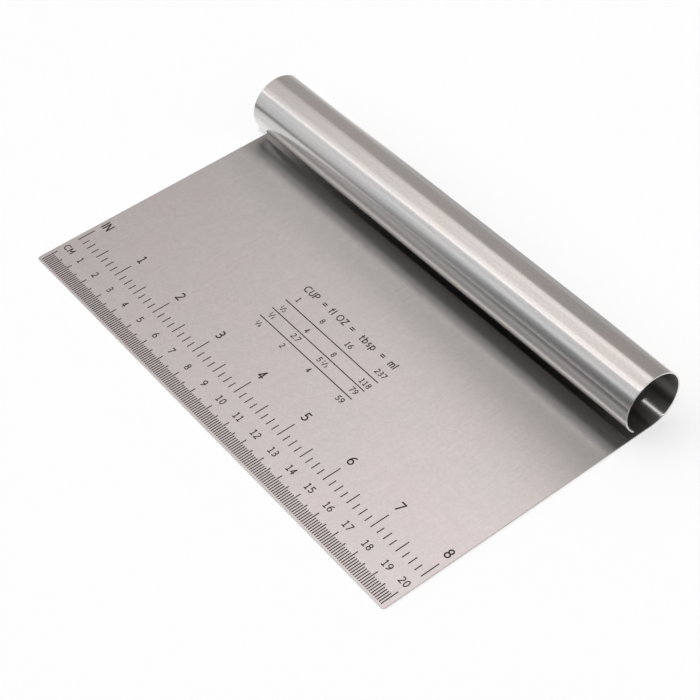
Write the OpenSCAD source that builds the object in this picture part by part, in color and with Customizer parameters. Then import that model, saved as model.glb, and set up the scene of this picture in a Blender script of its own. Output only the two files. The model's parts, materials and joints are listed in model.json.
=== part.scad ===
// Dough scraper: one steel sheet, flat as a blade and rolled into a hollow handle.
// The blade carries two ruler scales and a table of kitchen volumes as a thin dark marking.
// Origin: centre of the footprint, on the underside of the blade.
// +X runs along the cutting edge to the high end of the scales, +Y to the handle, +Z up.

/* [Blade] */
// Length of the cutting edge, and of the rolled handle
blade_w = 207.4; // [120:0.2:300]
// Flat depth, from the cutting edge to the line under the axis of the handle
flat_d = 113; // [90:0.5:160]
// Thickness of the steel sheet
sheet_t = 0.6; // [0.4:0.1:1.5]
// Radius of the two corners of the cutting edge
corner_r = 1.3; // [0.5:0.1:3]

/* [Rolled handle] */
// Outer diameter of the handle
handle_od = 24; // [18:0.5:36]
// Height of the slot between the blade and the free lip of the roll
slot_h = 2.6; // [1:0.1:6]

/* [Marking] */
// Thickness of the marking film
mark_t = 0.04; // [0.02:0.01:0.1]
// Width of a tick or a ruled line
line_w = 0.4; // [0.15:0.05:0.6]
// Stroke width of a character, as a share of its height
stroke_share = 0.14; // [0.08:0.01:0.15]
// Gap between two characters, as a share of their height
gap_share = 0.14; // [0.1:0.01:0.3]
// Distance from the left edge of the blade to the zero tick of both scales
scale_inset = 2.1; // [1:0.1:10]
// Least distance from the last tick to the right edge of the blade
tick_margin = 1; // [0.5:0.1:5]
// Least distance from a character of the scales to the side edges of the blade
label_margin = 1.8; // [1:0.1:5]

/* [Centimetre scale] */
// Distance between two numbered ticks
cm_pitch = 10.16; // [9:0.01:12]
// Distance from the cutting edge to the lower ends of the ticks
cm_start = 0.9; // [0.5:0.1:5]
// Length of a numbered tick
cm_tick = 6.8; // [4:0.05:10]
// Length of a tick halfway between two numbers
cm_half_tick = 5.75; // [3:0.05:9]
// Length of every other tick
cm_tenth_tick = 4.8; // [2:0.05:8]
// Gap between the numbered ticks and their numerals
cm_label_gap = 2.4; // [0.5:0.1:5]
// Height of the numerals and of the unit
cm_label_h = 2.85; // [1.5:0.05:4]

/* [Inch scale] */
// Distance between two numbered ticks
inch_pitch = 25.4; // [20:0.1:30]
// Gap between the centimetre numerals and the lower ends of the inch ticks
inch_gap = 3.8; // [1:0.1:10]
// Length of a numbered tick
inch_tick = 7.35; // [4:0.05:12]
// Length of a tick at a half
inch_half_tick = 5.5; // [3:0.05:10]
// Length of a tick at a quarter
inch_quarter_tick = 3.65; // [2:0.05:9]
// Length of a tick at an eighth
inch_eighth_tick = 3.1; // [1.5:0.05:8]
// Gap between the numbered ticks and their numerals
inch_label_gap = 2.9; // [0.5:0.05:6]
// Height of the numerals and of the unit
inch_label_h = 4; // [2:0.05:6]

/* [Table of volumes] */
// Offset of the table from the middle of the blade, along the cutting edge
table_offset = 2.55; // [-20:0.05:20]
// Length of the ruled lines
table_w = 53.5; // [50:0.5:80]
// Distance from the cutting edge to the middle of the lowest row
table_start = 42.4; // [38:0.1:60]
// Height of the numerals in the table
table_h = 2.4; // [1.5:0.05:3]
// Height of the unit names over the columns
heading_h = 3.1; // [2:0.05:4]
// Distance from the middle of the top row to the feet of the unit names
heading_gap = 4.2; // [3:0.1:8]

/* [Hidden] */
sheet_colour = "silver";
mark_colour = "#3a3230";
$fn = 96;
character_fn = 48;

handle_r = handle_od/2;
bore_r = handle_r - sheet_t;
edge_y = -(flat_d + handle_r)/2;
axis_y = edge_y + flat_d;
// The roll starts under its axis and ends where its lip stands the slot's height over the blade
roll_start = -90;
roll_end = 180 + asin((bore_r - slot_h)/handle_r);

left_x = -blade_w/2;
right_x = blade_w/2;
// Length by which a cut runs on past the faces that it cuts
cut_over = 1;
zero_x = left_x + scale_inset;
scale_room = blade_w - scale_inset - tick_margin;
cm_count = floor(scale_room/cm_pitch);
inch_count = floor(scale_room/inch_pitch);
cm_parts = 10;
inch_parts = 8;

cm_tick_y = edge_y + cm_start;
cm_label_y = cm_tick_y + cm_tick + cm_label_gap;
inch_tick_y = cm_label_y + cm_label_h + inch_gap;
inch_label_y = inch_tick_y + inch_tick + inch_label_gap;

table_left = table_offset - table_w/2;
table_y = edge_y + table_start;
// Middles of the rows above the lowest one, and of the columns from the left end of the lines
row_ys = [17.7, 10.9, 5.9, 0];
column_xs = [3.2, 17.5, 32.9, 50.8];
heading_xs = [3.6, 19.4, 36.3, 50.3];
equals_xs = [11.4, 27.4, 44.6];
heading_y = table_y + row_ys[0] + heading_gap;
// A small figure of a fraction, as a share of the full height
small_share = 0.6;

// Characters are drawn by a pen along lines and arcs in a square whose centrelines are 1 high
pen = stroke_share/(1 - stroke_share);
gap = gap_share/(1 - stroke_share);
// Width of each character between the centrelines of its outer strokes
character_widths = [["Il.", 0], [" ", 0.24], ["ft", 0.38], ["s", 0.4], ["bp", 0.54], ["/", 0.42],
                    ["0123456789=PZ", 0.56], ["NU", 0.6], ["Mm", 0.76], ["C", 0.82], ["O", 0.86]];
function character_width(c) = [for (w = character_widths) if (len(search(c, w[0])) > 0) w[1]][0];
function advance(c) = character_width(c) + pen + gap;
function pen_x(words, n) = n == 0 ? 0 : pen_x(words, n - 1) + advance(words[n - 1]);
function unit(h) = h*(1 - stroke_share);
function label_width(words, h) = unit(h)*(pen_x(words, len(words)) - gap);

// A straight stroke from point a to point b
module line(a, b) {
  run = b - a;
  translate(a)
    rotate(atan2(run[1], run[0]))
      translate([-pen/2, -pen/2])
        square([norm(run) + pen, pen]);
}

// A slanted stroke, whose ends are cut level and upright in line with the strokes that they meet
module slant(a, b) {
  low = [min(a[0], b[0]), min(a[1], b[1])];
  high = [max(a[0], b[0]), max(a[1], b[1])];
  intersection() {
    line(a, b);
    translate(low - [pen/2, pen/2])
      square(high - low + [pen, pen]);
  }
}

// A closed round stroke
module ring(centre, r) {
  translate(centre)
    difference() {
      circle(r + pen/2, $fn = character_fn);
      circle(r - pen/2, $fn = character_fn);
    }
}

// A round stroke from one angle to another, counter-clockwise
module arc(centre, r, start, end) {
  fan = [for (i = [0:5]) start + i*(end - start)/5];
  intersection() {
    ring(centre, r);
    translate(centre)
      polygon([[0, 0], for (a = fan) 3*r*[cos(a), sin(a)]]);
  }
}

// A closed oval stroke of four arcs that meet smoothly: half width a, half height b, end radius r
module oval(centre, a, b, r) {
  side_r = (a*a + (b - r)*(b - r) - r*r)/(2*(a - r));
  join = atan2(b - r, side_r - a);
  for (turn = [0, 180]) {
    arc(centre + (a - side_r)*[cos(turn), 0], side_r, turn - join, turn + join);
    arc(centre + (b - r)*[0, cos(turn)], r, turn + join, turn + 180 - join);
  }
}

module six() {
  ring([0.28, 0.28], 0.28);
  arc([0.6, 0.4], 0.6, 100, 180);
  line([0, 0.28], [0, 0.4]);
}

module digit(c) {
  if (c == "0") oval([0.28, 0.5], 0.28, 0.5, 0.2);
  if (c == "1") {
    line([0.3, 0], [0.3, 1]);
    line([0.1, 0], [0.5, 0]);
    slant([0.1, 0.92], [0.3, 1]);
  }
  if (c == "2") {
    arc([0.27, 0.735], 0.265, -40, 160);
    slant([0.473, 0.565], [0.02, 0]);
    line([0.02, 0], [0.54, 0]);
  }
  if (c == "3") {
    arc([0.27, 0.765], 0.235, -90, 145);
    arc([0.27, 0.265], 0.265, -145, 90);
    line([0.15, 0.53], [0.27, 0.53]);
  }
  if (c == "4") {
    slant([0.4, 1], [0, 0.26]);
    line([0, 0.26], [0.56, 0.26]);
    line([0.4, 0], [0.4, 1]);
  }
  if (c == "5") {
    line([0.08, 1], [0.48, 1]);
    line([0.08, 1], [0.08, 0.54]);
    arc([0.26, 0.3], 0.3, -150, 127);
  }
  if (c == "6") six();
  if (c == "7") {
    line([0, 1], [0.54, 1]);
    slant([0.54, 1], [0.16, 0]);
  }
  if (c == "8") {
    ring([0.28, 0.765], 0.235);
    ring([0.28, 0.265], 0.265);
  }
  if (c == "9") translate([0.56, 1]) rotate(180) six();
}

module capital(c) {
  if (c == "C") arc([0.5, 0.5], 0.5, 50, 310);
  if (c == "I") line([0, 0], [0, 1]);
  if (c == "M") {
    for (x = [0, 0.76]) {
      line([x, 0], [x, 1]);
      slant([x, 1], [0.38, 0.3]);
    }
  }
  if (c == "N") {
    line([0, 0], [0, 1]);
    slant([0, 1], [0.6, 0]);
    line([0.6, 0], [0.6, 1]);
  }
  if (c == "O") oval([0.43, 0.5], 0.43, 0.5, 0.38);
  if (c == "P") {
    line([0, 0], [0, 1]);
    for (y = [0.46, 1]) line([0, y], [0.29, y]);
    arc([0.29, 0.73], 0.27, -90, 90);
  }
  if (c == "U") {
    for (x = [0, 0.6]) line([x, 0.3], [x, 1]);
    arc([0.3, 0.3], 0.3, 180, 360);
  }
  if (c == "Z") {
    for (y = [0, 1]) line([0, y], [0.56, y]);
    slant([0, 0], [0.56, 1]);
  }
}

module small_letter(c) {
  if (c == "b" || c == "p") {
    drop = c == "p" ? 0.3 : 0;
    line([0, -drop], [0, 1 - drop]);
    oval([0.27, 0.35], 0.27, 0.35, 0.22);
  }
  if (c == "f") {
    line([0.14, 0], [0.14, 0.78]);
    line([0, 0.7], [0.36, 0.7]);
    arc([0.36, 0.78], 0.22, 95, 180);
  }
  if (c == "l") line([0, 0], [0, 1]);
  if (c == "m") {
    line([0, 0], [0, 0.7]);
    for (x = [0.38, 0.76]) {
      line([x, 0], [x, 0.51]);
      arc([x - 0.19, 0.51], 0.19, 0, 180);
    }
  }
  if (c == "s") {
    arc([0.2, 0.525], 0.175, 35, 270);
    arc([0.2, 0.175], 0.175, -145, 90);
  }
  if (c == "t") {
    line([0.14, 0.2], [0.14, 0.95]);
    line([0, 0.7], [0.36, 0.7]);
    arc([0.34, 0.2], 0.2, 180, 275);
  }
}

module sign(c) {
  if (c == ".") line([0, 0], [0, 0.01]);
  if (c == "/") slant([0, 0], [0.42, 1]);
  if (c == "=") for (y = [0.34, 0.64]) line([0, y], [0.56, y]);
}

// A line of characters of height h, whose feet start at a point
module label(words, h, foot) {
  for (i = [0:len(words) - 1])
    translate(foot + unit(h)*[pen_x(words, i) + pen/2, pen/2])
      scale(unit(h)) {
        digit(words[i]);
        capital(words[i]);
        small_letter(words[i]);
        sign(words[i]);
      }
}

// A line of characters with its feet centred on a point, kept off the right edge of the blade
module centred_label(words, h, middle) {
  width = label_width(words, h);
  last = right_x - label_margin - width;
  label(words, h, [min(middle[0] - width/2, last), middle[1]]);
}

// A fraction with small figures, its feet centred on a point
module fraction(over, under, h, middle) {
  small_h = small_share*h;
  over_w = label_width(over, small_h);
  slash_w = label_width("/", h);
  full_w = over_w + slash_w + label_width(under, small_h);
  left = middle - [full_w/2, 0];
  label(over, small_h, left + [0, h - small_h]);
  label("/", h, left + [over_w, 0]);
  label(under, small_h, left + [over_w + slash_w, 0]);
}

// A flat marking on top of the blade
module film() {
  color(mark_colour)
    translate([0, 0, sheet_t])
      linear_extrude(mark_t)
        children();
}

// A tick that starts at a point and runs towards the handle
module tick(x, y, length) {
  translate([x - line_w/2, y])
    square([line_w, length]);
}

function cm_length(i) =
  i % cm_parts == 0 ? cm_tick :
  i % (cm_parts/2) == 0 ? cm_half_tick : cm_tenth_tick;

function inch_length(i) =
  i % inch_parts == 0 ? inch_tick :
  i % (inch_parts/2) == 0 ? inch_half_tick :
  i % (inch_parts/4) == 0 ? inch_quarter_tick : inch_eighth_tick;

// Section of the roll around its axis, in the plane across the handle
module roll_section() {
  fan = [for (i = [0:5]) roll_start + i*(roll_end - roll_start)/5];
  intersection() {
    difference() {
      circle(handle_r);
      circle(bore_r);
    }
    polygon([[0, 0], for (a = fan) 2*handle_r*[cos(a), sin(a)]]);
  }
}

// Section of the whole sheet, from the cutting edge to the free lip, measured from the roll's axis
module sheet_section() {
  translate([-flat_d, -handle_r])
    square([flat_d, sheet_t]);
  roll_section();
}

// What is cut off the blade to round the right corner of the cutting edge
module corner_cut() {
  reach = corner_r + cut_over;
  translate([right_x - corner_r, edge_y + corner_r, -cut_over])
    linear_extrude(sheet_t + 2*cut_over)
      difference() {
        translate([0, -reach])
          square(reach);
        circle(corner_r);
      }
}

module steel_sheet() {
  color(sheet_colour)
    difference() {
      translate([left_x, axis_y, handle_r])
        rotate([90, 0, 90])
          linear_extrude(blade_w)
            sheet_section();
      for (side = [0, 1])
        mirror([side, 0, 0])
          corner_cut();
    }
}

module centimetre_ticks() {
  film()
    for (i = [0:cm_count*cm_parts])
      tick(zero_x + i*cm_pitch/cm_parts, cm_tick_y, cm_length(i));
}

module centimetre_numerals() {
  film()
    for (i = [1:cm_count])
      centred_label(str(i), cm_label_h, [zero_x + i*cm_pitch, cm_label_y]);
}

module inch_ticks() {
  film()
    for (i = [0:inch_count*inch_parts])
      tick(zero_x + i*inch_pitch/inch_parts, inch_tick_y, inch_length(i));
}

module inch_numerals() {
  film()
    for (i = [1:inch_count])
      centred_label(str(i), inch_label_h, [zero_x + i*inch_pitch, inch_label_y]);
}

module scale_units() {
  film() {
    label("CM", cm_label_h, [left_x + label_margin, cm_label_y]);
    label("IN", inch_label_h, [left_x + label_margin, inch_label_y]);
  }
}

module table_rules() {
  film()
    for (i = [1:len(row_ys) - 1])
      translate([table_left, table_y + (row_ys[i - 1] + row_ys[i])/2 - line_w/2])
        square([table_w, line_w]);
}

// Rows of equal volumes; a cell is a number, or a whole part with a fraction over another figure
rows = [
  [["1"], ["8"], ["16"], ["237"]],
  [["", "1", "2"], ["4"], ["8"], ["118"]],
  [["", "1", "3"], ["2.7"], ["5", "1", "3"], ["79"]],
  [["", "1", "4"], ["2"], ["4"], ["59"]]
];

module cell(parts, middle) {
  whole_w = parts[0] == "" ? 0 : label_width(parts[0], table_h);
  if (len(parts) == 1)
    centred_label(parts[0], table_h, middle);
  else {
    if (whole_w > 0)
      centred_label(parts[0], table_h, middle - [whole_w, 0]);
    fraction(parts[1], parts[2], table_h, middle + [whole_w, 0]);
  }
}

module table_numerals() {
  film()
    for (i = [0:len(rows) - 1], j = [0:len(column_xs) - 1])
      cell(rows[i][j], [table_left + column_xs[j], table_y + row_ys[i] - table_h/2]);
}

module table_units() {
  names = ["CUP", "fl OZ", "tbsp", "ml"];
  film() {
    for (j = [0:len(names) - 1])
      centred_label(names[j], heading_h, [table_left + heading_xs[j], heading_y]);
    for (x = equals_xs)
      centred_label("=", heading_h, [table_left + x, heading_y]);
  }
}

steel_sheet();
centimetre_ticks();
centimetre_numerals();
inch_ticks();
inch_numerals();
scale_units();
table_rules();
table_numerals();
table_units();
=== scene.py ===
"""Looks of the dough scraper: one rolled steel sheet with an etched marking, in a plain pale studio."""

import json
import math

import bpy
from mathutils import Matrix, Vector


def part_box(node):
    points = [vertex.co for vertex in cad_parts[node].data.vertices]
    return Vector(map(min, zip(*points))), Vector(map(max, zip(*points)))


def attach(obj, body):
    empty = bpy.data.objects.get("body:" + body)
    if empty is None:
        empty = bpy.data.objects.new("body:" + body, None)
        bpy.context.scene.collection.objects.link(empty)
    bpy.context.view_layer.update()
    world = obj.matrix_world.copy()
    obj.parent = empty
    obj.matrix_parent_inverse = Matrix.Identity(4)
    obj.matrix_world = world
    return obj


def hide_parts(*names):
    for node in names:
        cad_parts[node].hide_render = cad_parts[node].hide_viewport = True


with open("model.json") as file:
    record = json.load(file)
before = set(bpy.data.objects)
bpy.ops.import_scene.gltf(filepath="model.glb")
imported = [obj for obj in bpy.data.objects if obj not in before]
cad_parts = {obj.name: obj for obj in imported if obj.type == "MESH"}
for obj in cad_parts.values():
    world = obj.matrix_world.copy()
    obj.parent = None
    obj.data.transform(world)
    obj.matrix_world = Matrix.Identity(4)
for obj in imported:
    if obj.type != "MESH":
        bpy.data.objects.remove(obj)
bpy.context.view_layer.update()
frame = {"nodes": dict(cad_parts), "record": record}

MM = 0.001
MARKING_NODES = [n for n in sorted(frame["nodes"]) if n != "steel_sheet"]

# The sheet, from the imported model
sheet_low, sheet_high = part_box("steel_sheet")
bore = next(m for m in frame["record"]["mounts"] if m["name"] == "handle_bore")
BORE_R = bore["dims"]["r_mm"] * MM
AXIS_Y, AXIS_Z = bore["pos_m"][1], bore["pos_m"][2]
HANDLE_R = AXIS_Z
SHEET_T = HANDLE_R - BORE_R
EDGE_Y = sheet_low.y
WIDTH = sheet_high.x - sheet_low.x
FLAT_D = AXIS_Y - EDGE_Y
SLOT_H = 2.6 * MM
MIDDLE_R = (HANDLE_R + BORE_R) / 2
ROLL_START = -math.pi / 2
ROLL_END = math.pi + math.asin((BORE_R - SLOT_H) / HANDLE_R)
SHEET_L = FLAT_D + MIDDLE_R * (ROLL_END - ROLL_START)

# Its rounded corners and rim, and the density of its mesh
FRONT_CORNER_R = 1.3 * MM
LIP_CORNER_R = 0.4 * MM
RIM_R = 0.12 * MM
RIM_STEPS = 3
CORNER_STEPS = 8
COLUMNS = 26
FLAT_ROWS = 14
ROLL_ROWS = 128
UV_SIZE = 0.25


def rolled(x, s, n):
    """The place of a point of the flat sheet, s along it from the cutting edge and n up from its middle."""
    if s <= FLAT_D:
        return Vector((x, EDGE_Y + s, SHEET_T / 2 + n))
    a = ROLL_START + (s - FLAT_D) / MIDDLE_R
    r = MIDDLE_R - n
    return Vector((x, AXIS_Y + r * math.cos(a), AXIS_Z + r * math.sin(a)))


def rolled_normal(nx, ns, nn, s):
    """A direction on the flat sheet as it lies on the rolled one."""
    if s <= FLAT_D:
        return Vector((nx, ns, nn))
    a = ROLL_START + (s - FLAT_D) / MIDDLE_R
    along, up = Vector((0, -math.sin(a), math.cos(a))), Vector((0, -math.cos(a), -math.sin(a)))
    return Vector((nx, 0, 0)) + ns * along + nn * up


def steps(low, high, count):
    return [low + (high - low) * i / count for i in range(count + 1)]


def arc(centre, radius, start, end):
    """Points and outward directions along a rounded corner, without its two ends."""
    angles = [math.radians(a) for a in steps(start, end, CORNER_STEPS)][1:-1]
    return [
        ((centre[0] + radius * math.cos(a), centre[1] + radius * math.sin(a)), (math.cos(a), math.sin(a)))
        for a in angles
    ]


def sheet_mesh():
    """The whole sheet as one closed mesh: both faces on a grid, and a rounded rim between them."""
    half = WIDTH / 2
    columns = steps(-half + FRONT_CORNER_R, half - FRONT_CORNER_R, COLUMNS)
    rows = steps(FRONT_CORNER_R, FLAT_D, FLAT_ROWS)
    rows += steps(FLAT_D, SHEET_L - LIP_CORNER_R, ROLL_ROWS)[1:]
    verts, normals, places = [], [], []

    def add(x, s, n, nx, ns, nn):
        verts.append(rolled(x, s, n))
        normals.append(rolled_normal(nx, ns, nn, s))
        places.append((x, s))
        return len(verts) - 1

    # The outline runs counter-clockwise on the flat sheet: front, right, lip, left
    lip_x = [max(-half + LIP_CORNER_R, min(half - LIP_CORNER_R, x)) for x in columns]
    lip_x[0], lip_x[-1] = -half + LIP_CORNER_R, half - LIP_CORNER_R
    outline = [((x, 0.0), (0, -1)) for x in columns]
    outline += arc((columns[-1], rows[0]), FRONT_CORNER_R, -90, 0)
    outline += [((half, s), (1, 0)) for s in rows]
    outline += arc((lip_x[-1], rows[-1]), LIP_CORNER_R, 0, 90)
    outline += [((x, SHEET_L), (0, 1)) for x in reversed(lip_x)]
    outline += arc((lip_x[0], rows[-1]), LIP_CORNER_R, 90, 180)
    outline += [((-half, s), (-1, 0)) for s in reversed(rows)]
    outline += arc((columns[0], rows[0]), FRONT_CORNER_R, 180, 270)
    count = len(outline)

    # The rim's section from the upper face, over the side, to the lower face
    quarter = [math.radians(a) for a in steps(90, 0, RIM_STEPS)]
    section = [
        (RIM_R * (1 - math.cos(a)), SHEET_T / 2 - RIM_R + RIM_R * math.sin(a), a) for a in quarter
    ]
    section += [(inset, -n, -a) for inset, n, a in reversed(section)]
    rim = [
        [
            add(p[0] - inset * out[0], p[1] - inset * out[1], n,
                out[0] * math.cos(a), out[1] * math.cos(a), math.sin(a))
            for p, out in outline
        ]
        for inset, n, a in section
    ]
    depths = [0.0]
    for a, b in zip(section, section[1:]):
        depths.append(depths[-1] + math.hypot(b[0] - a[0], b[1] - a[1]))

    faces, uvs = [], []

    def face(corners, corner_uvs):
        faces.append(corners)
        uvs.append([(x / UV_SIZE + 0.5, s / UV_SIZE) for x, s in corner_uvs])

    for k in range(len(section) - 1):
        for i in range(count):
            j = (i + 1) % count
            corners = [rim[k][j], rim[k][i], rim[k + 1][i], rim[k + 1][j]]
            side = []
            for q, depth in ((j, depths[k]), (i, depths[k]), (i, depths[k + 1]), (j, depths[k + 1])):
                (x, s), out = outline[q]
                side.append((x + out[0] * depth, s + out[1] * depth))
            face(corners, side)

    # Both faces: a grid of inner points, joined to the rim's first or last ring
    n_cols, n_rows = len(columns), len(rows)
    front = list(range(n_cols))
    right = [n_cols + CORNER_STEPS - 1 + j for j in range(n_rows)]
    lip = [right[-1] + CORNER_STEPS + i for i in range(n_cols)]
    left = [lip[-1] + CORNER_STEPS + j for j in range(n_rows)]
    # On the roll, the upper face of the flat sheet becomes the inside
    for ring, n, flip in ((rim[-1], -SHEET_T / 2, True), (rim[0], SHEET_T / 2, False)):
        first_upper = len(faces)

        def lay(corners):
            corners = corners[::-1] if flip else corners
            face(corners, [places[c] for c in corners])

        def inner_x(i, j):
            share = j / (n_rows - 1)
            return columns[i] * (1 - share) + lip_x[i] * share

        grid = [
            [add(inner_x(i, j), rows[j], n, 0, 0, -1 if flip else 1) for i in range(n_cols)]
            for j in range(n_rows)
        ]
        for j in range(n_rows - 1):
            for i in range(n_cols - 1):
                lay([grid[j][i], grid[j][i + 1], grid[j + 1][i + 1], grid[j + 1][i]])
            lay([ring[left[-1 - j]], grid[j][0], grid[j + 1][0], ring[left[-2 - j]]])
            lay([grid[j][-1], ring[right[j]], ring[right[j + 1]], grid[j + 1][-1]])
        for i in range(n_cols - 1):
            lay([ring[front[i]], ring[front[i + 1]], grid[0][i + 1], grid[0][i]])
            lay([grid[-1][i], grid[-1][i + 1], ring[lip[-2 - i]], ring[lip[-1 - i]]])
        fans = (
            (grid[0][-1], front[-1]), (grid[-1][-1], right[-1]),
            (grid[-1][0], lip[-1]), (grid[0][0], left[-1]),
        )
        for centre, first in fans:
            for k in range(CORNER_STEPS):
                lay([centre, ring[(first + k) % count], ring[(first + k + 1) % count]])

    mesh = bpy.data.meshes.new("rolled_sheet")
    mesh.from_pydata(verts, [], faces)
    layer = mesh.uv_layers.new(name="sheet")
    for polygon, corner_uvs in zip(mesh.polygons, uvs):
        polygon.use_smooth = True
        polygon.material_index = 1 if polygon.index >= first_upper else 0
        for loop, uv in zip(polygon.loop_indices, corner_uvs):
            layer.data[loop].uv = uv
    mesh.normals_split_custom_set_from_vertices([n.normalized() for n in normals])
    return mesh


class Nodes:
    """A short way to write a node tree."""

    def __init__(self, tree):
        self.tree = tree
        tree.nodes.clear()

    def add(self, kind, inputs=None, **settings):
        node = self.tree.nodes.new(kind)
        for name, value in settings.items():
            setattr(node, name, value)
        for key, value in (inputs or {}).items():
            self.put(node.inputs[key], value)
        return node

    def put(self, socket, value):
        if isinstance(value, bpy.types.NodeSocket):
            self.tree.links.new(value, socket)
        else:
            socket.default_value = value

    def math(self, operation, a, b=0.0, c=0.0):
        node = self.add("ShaderNodeMath", {0: a, 1: b, 2: c}, operation=operation)
        return node.outputs[0]

    def times(self, *values):
        product = values[0]
        for value in values[1:]:
            product = self.math("MULTIPLY", product, value)
        return product

    def vector(self, operation, inputs):
        node = self.add("ShaderNodeVectorMath", inputs, operation=operation)
        return node.outputs["Value" if operation in ("LENGTH", "DOT_PRODUCT") else "Vector"]

    def remap(self, value, low, high, to_low=0.0, to_high=1.0, smooth=False):
        kind = "SMOOTHSTEP" if smooth else "LINEAR"
        node = self.add(
            "ShaderNodeMapRange",
            {"Value": value, "From Min": low, "From Max": high, "To Min": to_low, "To Max": to_high},
            interpolation_type=kind,
        )
        return node.outputs["Result"]

    def colour_mix(self, factor, a, b):
        node = self.add("ShaderNodeMix", data_type="RGBA")
        self.put(node.inputs["Factor"], factor)
        self.put(node.inputs[6], a)
        self.put(node.inputs[7], b)
        return node.outputs[2]

    def noise(self, vector, scale, detail=2.0, rough=0.5):
        node = self.add(
            "ShaderNodeTexNoise",
            {"Vector": vector, "Scale": scale, "Detail": detail, "Roughness": rough},
        )
        return node.outputs["Fac"]

    def stretched(self, vector, along, across):
        return self.vector("MULTIPLY", {0: vector, 1: (along, across, 1.0)})


# The two finishes of the steel. The size of a streak is given along the handle and along the sheet's depth.
BRUSHED = {
    "streak": (0.0005, 0.012),
    "fineness": 0.4,
    "uneven": 0.010,
    "relief": 0.0000008,
    "cool": (0.563, 0.540, 0.534, 1),
    "warm": (0.576, 0.540, 0.532, 1),
}
POLISHED = {
    "streak": (0.014, 0.0006),
    "fineness": 1.0,
    "uneven": 0.03,
    "relief": 0.000002,
    "cool": (0.600, 0.590, 0.577, 1),
    "warm": (0.615, 0.590, 0.574, 1),
}
GRAIN_SIZE = 0.0009
TINT_SIZE = 0.022
STREAK_SHARE = 0.6
WORN_RANGE = (0.93, 1.05)
MOTTLES = ((0.0015, 0.11), (0.0045, 0.07))
NEUTRAL_TINT = (0.551, 0.540, 0.531, 1)

# Roughness of the blade, of the blade beside the roll, inside the roll and on the polished side
BLADE_ROUGH = 0.17
NEAR_ROLL_ROUGH = 0.27
INSIDE_ROUGH = 0.32
HANDLE_ROUGH = 0.185

# Stretches of the brushed side, from the line where the roll starts
ROUGHER = (-0.042, -0.022)
INTO_ROLL = (-0.004, 0.012)
NEUTRAL = (-0.050, -0.026)
# The next two are painted shade in the colour beside the roll: a stretch and the share of colour left there
PAINTED_SHADE = ((-0.038, -0.021), 0.90)
DEEPER_PAINTED_SHADE = ((-0.0225, -0.0165), 0.75)

# A painted highlight on the other side: a stretch of lighter colour, placed from the lip
PAINTED_HIGHLIGHT_START = (-0.0108, -0.0085)
PAINTED_HIGHLIGHT_END = (-0.0058, -0.0040)
PAINTED_HIGHLIGHT_GAIN = 0.24


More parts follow.
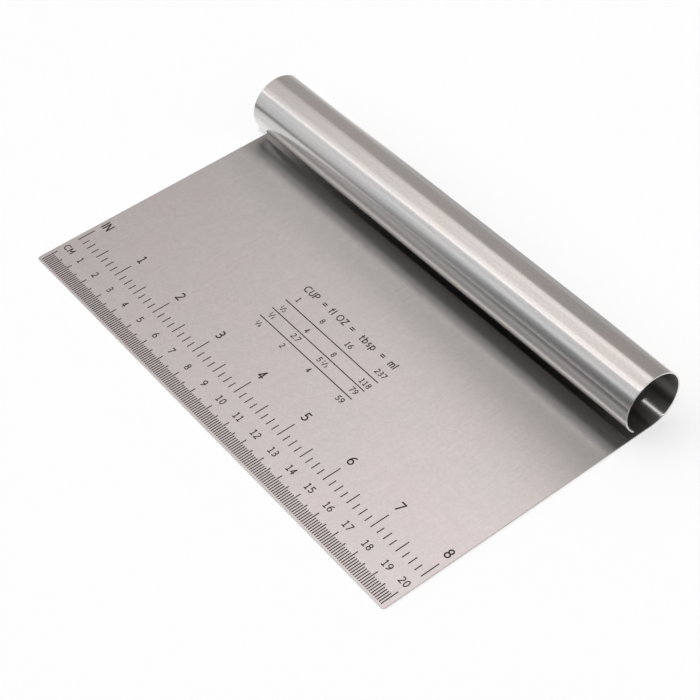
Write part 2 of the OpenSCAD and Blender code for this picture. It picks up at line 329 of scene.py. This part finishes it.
def steel_material(name, finish):
    """Steel with streaks, fine grain, a faint relief, a tint that drifts from cool to warm, and painted shade
    or highlight by finish.
    """
    material = bpy.data.materials.new(name)
    material.use_nodes = True
    nodes = Nodes(material.node_tree)
    place = nodes.add("ShaderNodeUVMap", uv_map="sheet").outputs["UV"]
    metres = nodes.stretched(place, UV_SIZE, UV_SIZE)
    s = nodes.add("ShaderNodeSeparateXYZ", {0: metres}).outputs["Y"]

    def over(stretch, low=0.0, high=1.0, start=FLAT_D):
        """A smooth change over a stretch of the sheet."""
        return nodes.remap(s, start + stretch[0], start + stretch[1], low, high, smooth=True)

    fineness = finish["fineness"]
    fine = nodes.noise(metres, 1 / GRAIN_SIZE, 2.0, 0.55)
    fine = nodes.remap(fine, 0, 1, 0.5 - fineness / 2, 0.5 + fineness / 2)
    streak = nodes.noise(nodes.stretched(metres, *[1 / size for size in finish["streak"]]), 1.0)
    grain = nodes.math("ADD", fine, nodes.times(nodes.math("SUBTRACT", streak, 0.5), STREAK_SHARE))
    blotch = nodes.noise(metres, 1 / TINT_SIZE)
    tint = nodes.colour_mix(nodes.remap(blotch, 0.35, 0.65), finish["cool"], finish["warm"])
    grain_and_painted_light = nodes.remap(grain, 0.2, 0.8, *WORN_RANGE)
    inputs = {}
    if finish is BRUSHED:
        # The highlight is long along the handle and short across it
        tangent = nodes.add("ShaderNodeTangent", direction_type="UV_MAP", uv_map="sheet").outputs[0]
        inputs = {"Anisotropic": 1.0, "Tangent": tangent}
        rough = nodes.remap(over(ROUGHER), 0, 1, BLADE_ROUGH, NEAR_ROLL_ROUGH)
        rough = nodes.math("MULTIPLY_ADD", over(INTO_ROLL), INSIDE_ROUGH - NEAR_ROLL_ROUGH, rough)
        # A faint mottle all over it
        for size, strength in MOTTLES:
            mottle = nodes.math("SUBTRACT", nodes.noise(metres, 1 / size, 1.0), 0.5)
            grain_and_painted_light = nodes.times(grain_and_painted_light, nodes.math("MULTIPLY_ADD", mottle, strength, 1.0))
        # Painted shade: darker beside the roll and inside it, where the tint also turns more neutral
        tint = nodes.colour_mix(nodes.remap(s, FLAT_D + NEUTRAL[0], FLAT_D + NEUTRAL[1]), tint, NEUTRAL_TINT)
        for stretch, share in (PAINTED_SHADE, DEEPER_PAINTED_SHADE):
            grain_and_painted_light = nodes.times(grain_and_painted_light, over(stretch, 1.0, share))
    else:
        rough = HANDLE_ROUGH
        # Painted highlight: the colour is lighter along the lower edge of the handle
        painted_highlight = nodes.times(over(PAINTED_HIGHLIGHT_START, start=SHEET_L), over(PAINTED_HIGHLIGHT_END, 1.0, 0.0, start=SHEET_L))
        grain_and_painted_light = nodes.times(grain_and_painted_light, nodes.math("MULTIPLY_ADD", painted_highlight, PAINTED_HIGHLIGHT_GAIN, 1.0))
    rough = nodes.math("MULTIPLY_ADD", nodes.math("SUBTRACT", grain, 0.5), finish["uneven"], rough)
    shade = nodes.vector("SCALE", {0: tint, "Scale": grain_and_painted_light})
    bump = {"Strength": 1.0, "Distance": finish["relief"], "Height": grain}
    relief = nodes.add("ShaderNodeBump", bump).outputs[0]
    inputs.update({"Base Color": shade, "Metallic": 1.0, "Roughness": rough, "Normal": relief})
    shader = nodes.add("ShaderNodeBsdfPrincipled", inputs)
    nodes.add("ShaderNodeOutputMaterial", {"Surface": shader.outputs[0]})
    return material


INK_DARK = (0.028, 0.020, 0.016, 1)
INK_WORN = (0.044, 0.032, 0.027, 1)
INK_GRAIN_SIZE = 0.0004
INK_WEAR_SIZE = 0.006
INK_ROUGH = (0.42, 0.66)
INK_RELIEF = 0.00002
INK_SPECULAR = 0.3


def marking_material():
    """A matt dark brown etched mark."""
    material = bpy.data.materials.new("etched_marking")
    material.use_nodes = True
    nodes = Nodes(material.node_tree)
    place = nodes.add("ShaderNodeTexCoord").outputs["Object"]
    grain = nodes.noise(place, 1 / INK_GRAIN_SIZE, 2.0, 0.6)
    wear = nodes.noise(place, 1 / INK_WEAR_SIZE)
    colour = nodes.colour_mix(nodes.remap(wear, 0.3, 0.7), INK_DARK, INK_WORN)
    rough = nodes.remap(grain, 0.2, 0.8, *INK_ROUGH)
    bump = {"Strength": 0.2, "Distance": INK_RELIEF, "Height": grain}
    relief = nodes.add("ShaderNodeBump", bump).outputs[0]
    inputs = {"Base Color": colour, "Metallic": 0.0, "Roughness": rough, "Normal": relief}
    inputs["Specular IOR Level"] = INK_SPECULAR
    shader = nodes.add("ShaderNodeBsdfPrincipled", inputs)
    nodes.add("ShaderNodeOutputMaterial", {"Surface": shader.outputs[0]})
    return material


# What the steel mirrors at the handle's left end, seen from the camera, and at its right end
BACK_WALL = (0.541, 0.504, 0.484, 1), (0.468, 0.436, 0.419, 1)
FRONT_WALL = (0.92, 0.93, 0.955, 1), (0.80, 0.81, 0.83, 1)
UPPER_GLOOM = (0.56, 0.57, 0.59, 1), (0.36, 0.368, 0.385, 1)
GLARE = (3.0, 2.94, 2.88, 1), (2.5, 2.44, 2.4, 1)
PALE_STRETCH = (1.02, 1.04, 1.07, 1)
LOWER_GLOOM = (0.185, 0.19, 0.20, 1)
DARK_ROOM = (0.2, 0.2, 0.205, 1)
BOX_TINT = (1.05, 0.995, 0.98)
SECOND_GLARE = (2.0, 1.94, 1.9, 1)
WALL_ENDS = (-0.66, -0.47)
GLOOM_TOWARDS = (-0.722, 0.605, 0.336)


def studio_world():
    """Soft light by direction: a wide box overhead with two thin strips, a grey wall behind and a paler,
    cooler one in front, which turns dark in front of the cutting edge. The camera sees plain white."""
    world = bpy.data.worlds.new("studio")
    bpy.context.scene.world = world
    world.use_nodes = True
    nodes = Nodes(world.node_tree)
    direction = nodes.add("ShaderNodeTexCoord").outputs["Generated"]
    parts = nodes.add("ShaderNodeSeparateXYZ", {0: direction}).outputs
    across = parts["X"]
    height = nodes.math("MAXIMUM", parts["Z"], 0.02)

    def ceiling(x, y):
        """How far across the ceiling a direction meets it, along a line given in plan."""
        return nodes.math("DIVIDE", nodes.vector("DOT_PRODUCT", {0: direction, 1: (x, y, 0)}), height)

    def band(value, low, high, soft_low, soft_high):
        rise = nodes.remap(value, low - soft_low, low + soft_low, smooth=True)
        fall = nodes.remap(value, high - soft_high, high + soft_high, 1, 0, smooth=True)
        return nodes.times(rise, fall)

    def by_end(ends, colours):
        """One colour mirrored at the handle's left end, another at its right end."""
        return nodes.colour_mix(nodes.remap(across, *ends), *colours)

    # The angle round the handle, from 0 behind it over 90 above it to 180 in front of it
    round_handle = nodes.math("DEGREES", nodes.math("ARCTAN2", parts["Z"], parts["Y"]))

    # The two walls, with a paler stretch low on the front one
    back = nodes.remap(round_handle, 88, 96, 1, 0)
    wall = nodes.colour_mix(back, by_end(WALL_ENDS, FRONT_WALL), by_end(WALL_ENDS, BACK_WALL))
    pale = nodes.times(band(round_handle, 141, 150, 4, 4), band(across, -0.69, -0.42, 0.02, 0.02))
    wall = nodes.colour_mix(pale, wall, PALE_STRETCH)
    # A dark stretch in front of the cutting edge, darkest on the right
    sideways = nodes.vector("DOT_PRODUCT", {0: direction, 1: GLOOM_TOWARDS})
    full_dark = nodes.remap(across, -0.64, -0.54, -0.035, 0.008)
    dark = nodes.times(
        nodes.remap(sideways, 0.055, full_dark, smooth=True),
        nodes.remap(round_handle, 148, 158, smooth=True),
    )
    upper_gloom = by_end((-0.63, -0.54), UPPER_GLOOM)
    gloom = nodes.colour_mix(nodes.remap(sideways, -0.15, 0.0), LOWER_GLOOM, upper_gloom)
    wall = nodes.colour_mix(dark, wall, gloom)
    # Beyond its left end the room is dark
    wall = nodes.colour_mix(nodes.remap(across, -0.69, -0.77), wall, DARK_ROOM)

    # The box overhead: brighter to the right, along its far edge and towards its near edge
    far = ceiling(0.0756, 1.0)
    near_edge = nodes.remap(across, -0.62, -0.50, -0.135, -0.20)
    near_edge = nodes.math("ADD", near_edge, nodes.remap(across, -0.51, -0.46, 0.0, -0.045))
    near = nodes.math("SUBTRACT", ceiling(-0.472, 0.881), near_edge)
    right = nodes.remap(across, -0.58, -0.38, 0.0, 1.67)
    far_edge = nodes.remap(right, 0, 1, 0.523, 0.543)
    far_soft = nodes.remap(right, 0, 1, 0.028, 0.064)
    far_share = nodes.math("DIVIDE", nodes.math("SUBTRACT", far_edge, far), far_soft)
    inside = nodes.times(
        nodes.remap(far_share, 0, 1, smooth=True),
        nodes.remap(near, -0.01, 0.01, smooth=True),
    )
    power = nodes.remap(across, -0.75, -0.54, 0.52, 1.21)
    far_gain = nodes.remap(round_handle, 70, 84, 0.20, -0.15, smooth=True)
    power = nodes.math("MULTIPLY_ADD", far_gain, right, power)
    far_fade = nodes.remap(round_handle, 66, 72, 0.91, 1.0, smooth=True)
    near_gain = nodes.remap(round_handle, 104, 111, 1.0, 1.27, smooth=True)
    power = nodes.times(power, far_fade, near_gain)
    box = nodes.vector("SCALE", {0: BOX_TINT, "Scale": power})
    light = nodes.colour_mix(inside, wall, box)
    # Two thin strips of light, one along its near edge
    strip = band(near, -0.02, 0.03, 0.01, 0.01)
    light = nodes.colour_mix(strip, light, by_end((-0.62, -0.55), GLARE))
    second = band(round_handle, 108.6, 110.8, 0.8, 0.8)
    light = nodes.colour_mix(nodes.times(second, right), light, SECOND_GLARE)
    # Less light from the right, into the open end of the handle
    dimmed = nodes.remap(across, 0.0, 0.4, 1.0, 0.35, smooth=True)
    light = nodes.vector("SCALE", {0: light, "Scale": dimmed})
    camera = nodes.add("ShaderNodeLightPath").outputs["Is Camera Ray"]
    light = nodes.colour_mix(camera, light, (1, 1, 1, 1))
    background = nodes.add("ShaderNodeBackground", {"Color": light, "Strength": 1.0})
    nodes.add("ShaderNodeOutputWorld", {"Surface": background.outputs[0]})


KEY_TOWARDS = (0.38, -0.32, 0.87)
KEY_ANGLE = math.radians(2.0)
KEY_STRENGTH = 1.3


def key_lamp():
    """A small lamp beside the camera, which draws the thin bright line inside the roll."""
    data = bpy.data.lights.new("key", "SUN")
    data.angle = KEY_ANGLE
    data.energy = KEY_STRENGTH
    lamp = bpy.data.objects.new("key", data)
    lamp.rotation_mode = "QUATERNION"
    lamp.rotation_quaternion = Vector(KEY_TOWARDS).to_track_quat("Z", "Y")
    bpy.context.scene.collection.objects.link(lamp)


FLOOR_DROP = 0.0001
FLOOR_HALF = 3.0
FLOOR_GLOW = 0.40
FLOOR_COLOUR = (0.593, 0.603, 0.608)
POOL_EDGE = 0.020
FRONT_POOL_REACH = 0.090
BACK_POOL_REACH = 0.135
PAINTED_SHADE_STRENGTH = -0.6


def studio_floor():
    """A pale floor that shows white to the camera and keeps the object's shadow.

    Steel shows it too, with a painted pool of light: bright close to the object and darker away from it."""
    mesh = bpy.data.meshes.new("floor")
    corners = [(x * FLOOR_HALF, y * FLOOR_HALF, -FLOOR_DROP) for x, y in ((-1, -1), (1, -1), (1, 1), (-1, 1))]
    mesh.from_pydata(corners, [], [(0, 1, 2, 3)])
    floor = bpy.data.objects.new("floor", mesh)
    bpy.context.scene.collection.objects.link(floor)
    material = bpy.data.materials.new("pale_floor")
    material.use_nodes = True
    nodes = Nodes(material.node_tree)
    path = nodes.add("ShaderNodeLightPath").outputs
    place = nodes.add("ShaderNodeNewGeometry").outputs["Position"]
    spot = nodes.add("ShaderNodeSeparateXYZ", {0: place}).outputs
    x, y = spot["X"], spot["Y"]

    # How far a place is from the object's outline
    beyond = nodes.vector("ABSOLUTE", {0: place})
    beyond = nodes.vector("SUBTRACT", {0: beyond, 1: (WIDTH / 2, -EDGE_Y, 0)})
    beyond = nodes.vector("LENGTH", {0: nodes.vector("MAXIMUM", {0: beyond, 1: (0, 0, 0)})})

    # Painted light for mirrored rays: the level away from the pool of light, and the pool's own, where a
    # painted shadow makes its middle darker behind the handle
    rest = nodes.remap(y, -0.05, 0.05, 0.22, 0.53)
    rest = nodes.math("ADD", rest, nodes.remap(x, -0.22, -0.32, 0.0, 0.28))
    behind = nodes.remap(y, 0.05, 0.06)
    spread = nodes.math("MULTIPLY_ADD", y, -0.9, 0.067)
    spread = nodes.math("ADD", nodes.math("ABSOLUTE", x), spread)
    right_end = nodes.math("MAXIMUM", nodes.math("SUBTRACT", x, 0.05), 0.0)
    spread = nodes.math("MULTIPLY_ADD", right_end, 0.9, spread)
    middle = nodes.remap(y, 0.074, 0.1065, 0.59, 0.43)
    ends = nodes.remap(spread, 0.03, 0.10, middle, -0.3, smooth=True)
    peak = nodes.math("SUBTRACT", 1.0, nodes.times(behind, ends))
    reach = nodes.remap(y, 0.04, 0.08, FRONT_POOL_REACH, BACK_POOL_REACH)
    pool = nodes.remap(beyond, POOL_EDGE, reach, 1.0, 0.0, smooth=True)
    pool = nodes.math("MULTIPLY_ADD", nodes.math("SUBTRACT", peak, rest), pool, rest)
    # Painted shade: the cut end of the roll faces a darker patch
    painted_shade_patch = nodes.times(
        nodes.remap(y, 0.062, 0.054, smooth=True),
        nodes.remap(y, 0.015, 0.03),
        nodes.remap(x, 0.108, 0.113, smooth=True),
    )
    pool = nodes.times(pool, nodes.math("MULTIPLY_ADD", painted_shade_patch, PAINTED_SHADE_STRENGTH, 1.0))

    # Only mirrored rays see these levels
    level = nodes.add(
        "ShaderNodeMix", {"Factor": path["Is Glossy Ray"], "A": 1.0, "B": pool}, data_type="FLOAT"
    ).outputs["Result"]
    shade = nodes.vector("SCALE", {0: FLOOR_COLOUR, "Scale": level})
    diffuse = nodes.add("ShaderNodeBsdfDiffuse", {"Color": shade}).outputs[0]
    straight = nodes.math("MAXIMUM", path["Is Camera Ray"], path["Is Glossy Ray"])
    straight = nodes.math("MAXIMUM", straight, path["Is Transmission Ray"])
    glow = nodes.times(straight, level, FLOOR_GLOW)
    glow = nodes.add("ShaderNodeEmission", {"Color": (1, 1, 1, 1), "Strength": glow}).outputs[0]
    both = nodes.add("ShaderNodeAddShader", {0: diffuse, 1: glow}).outputs[0]
    nodes.add("ShaderNodeOutputMaterial", {"Surface": both})
    mesh.materials.append(material)


# The camera, in the part's frame
CAMERA_PLACE = (0.37315, -0.24305, 0.46119)
CAMERA_FORWARD = (-0.57247, 0.37826, -0.72746)
CAMERA_UP = (-0.54882, 0.48238, 0.68272)
CAMERA_LENS = 93.62
CAMERA_SENSOR = 36
CAMERA_CLIP = (0.01, 20)


def photo_camera():
    data = bpy.data.cameras.new("photo_camera")
    data.sensor_width = CAMERA_SENSOR
    data.lens = CAMERA_LENS
    data.clip_start, data.clip_end = CAMERA_CLIP
    camera = bpy.data.objects.new("photo_camera", data)
    forward = Vector(CAMERA_FORWARD).normalized()
    right = forward.cross(Vector(CAMERA_UP)).normalized()
    up = right.cross(forward)
    turn = Matrix((right, up, -forward)).transposed()
    camera.matrix_world = Matrix.Translation(CAMERA_PLACE) @ turn.to_4x4()
    bpy.context.scene.collection.objects.link(camera)
    bpy.context.scene.camera = camera


def build_object():
    sheet = bpy.data.objects.new("rolled_steel_sheet", sheet_mesh())
    bpy.context.scene.collection.objects.link(sheet)
    sheet.data.materials.append(steel_material("polished_steel", POLISHED))
    sheet.data.materials.append(steel_material("brushed_steel", BRUSHED))
    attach(sheet, "root")
    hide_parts("steel_sheet")
    marking = marking_material()
    for name in MARKING_NODES:
        mark = frame["nodes"][name]
        mark.data.materials.clear()
        mark.data.materials.append(marking)


photo_camera()
studio_world()
key_lamp()
studio_floor()
build_object()
bpy.context.scene.view_settings.view_transform = "Standard"
